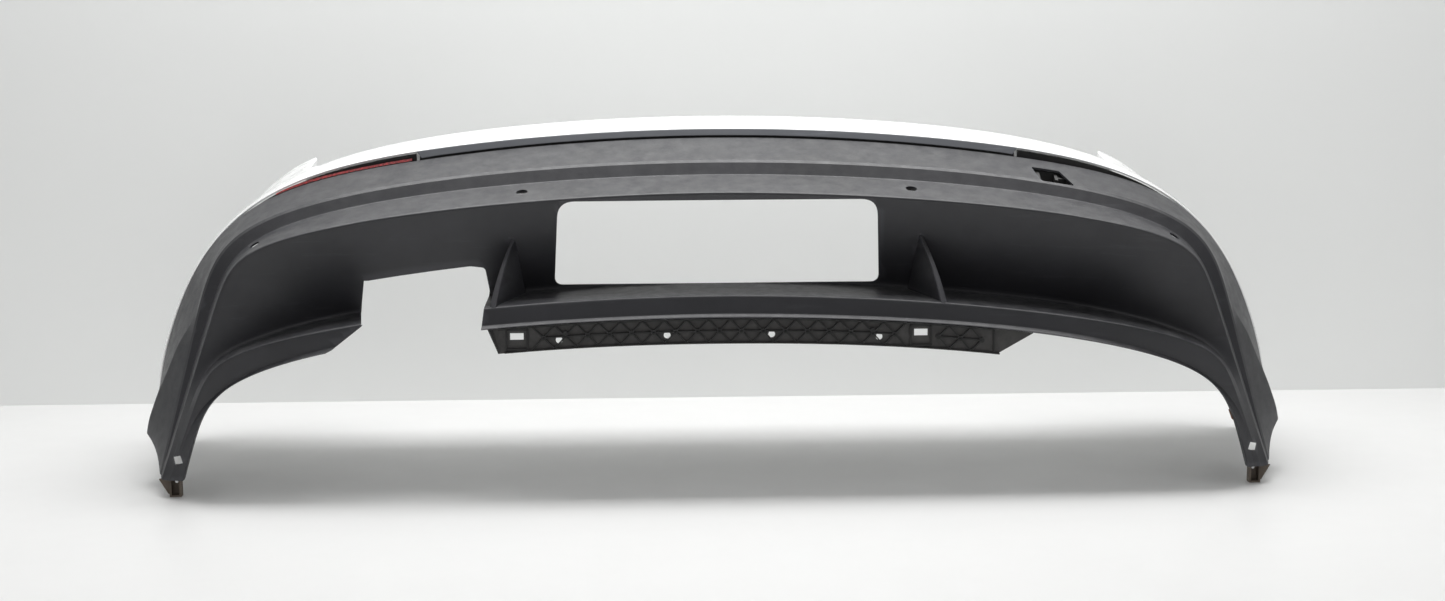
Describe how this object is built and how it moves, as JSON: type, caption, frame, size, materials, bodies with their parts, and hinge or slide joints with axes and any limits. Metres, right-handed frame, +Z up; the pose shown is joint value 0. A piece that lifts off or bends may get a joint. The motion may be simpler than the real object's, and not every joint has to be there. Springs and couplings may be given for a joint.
{
  "type": "rear bumper cover",
  "caption": "Rear bumper cover: glossy white painted upper skin over a grey grained valance with a rectangular opening, tail-pipe notch, tow-eye hole and ribbed lower strip.",
  "frame": {"origin": "centre of the bounding box on the floor the cover stands on, under its wing ends", "axes": "+X towards the viewer's right, +Y away from the viewer (up on the vehicle), +Z up from the floor (rearward on the vehicle)"},
  "size_m": [1.8818, 0.508, 0.5759],
  "materials": {
    "white_paint": "two-stage solid white paint with clear coat on moulded plastic",
    "grey_grain": "unpainted moulded plastic with a fine grain",
    "trim_grey": "smooth satin plastic",
    "black_plastic": "raw black moulded plastic",
    "brown_black": "dusty black plastic",
    "red_lens": "clear red reflector plastic",
    "rusty_spring_steel": "spring steel with surface rust",
    "zinc_steel": "zinc plated steel"
  },
  "bodies": {
    "root": {"upper_cover": "white_paint", "lower_valance": "grey_grain", "centre_trim_strip": "trim_grey", "centre_trim_carrier": "black_plastic", "reflector_carrier_left": "black_plastic", "reflector_carrier_right": "black_plastic", "reflector_lens_left": "red_lens", "sensor_holder_inner_left": "black_plastic", "sensor_holder_inner_right": "black_plastic", "sensor_holder_outer_left": "black_plastic", "sensor_holder_outer_right": "black_plastic", "lower_ribbed_strip": "black_plastic", "tow_eye_pocket": "black_plastic", "arch_tab_left": "brown_black", "arch_tab_right": "brown_black", "flange_nut_left": "rusty_spring_steel", "flange_nut_right": "rusty_spring_steel", "sill_retainer": "black_plastic", "side_guide_left": "black_plastic", "side_guide_right": "black_plastic", "lamp_bracket_left": "black_plastic", "lamp_bracket_right": "black_plastic", "joining_clips": "zinc_steel"}
  },
  "joints": []
}
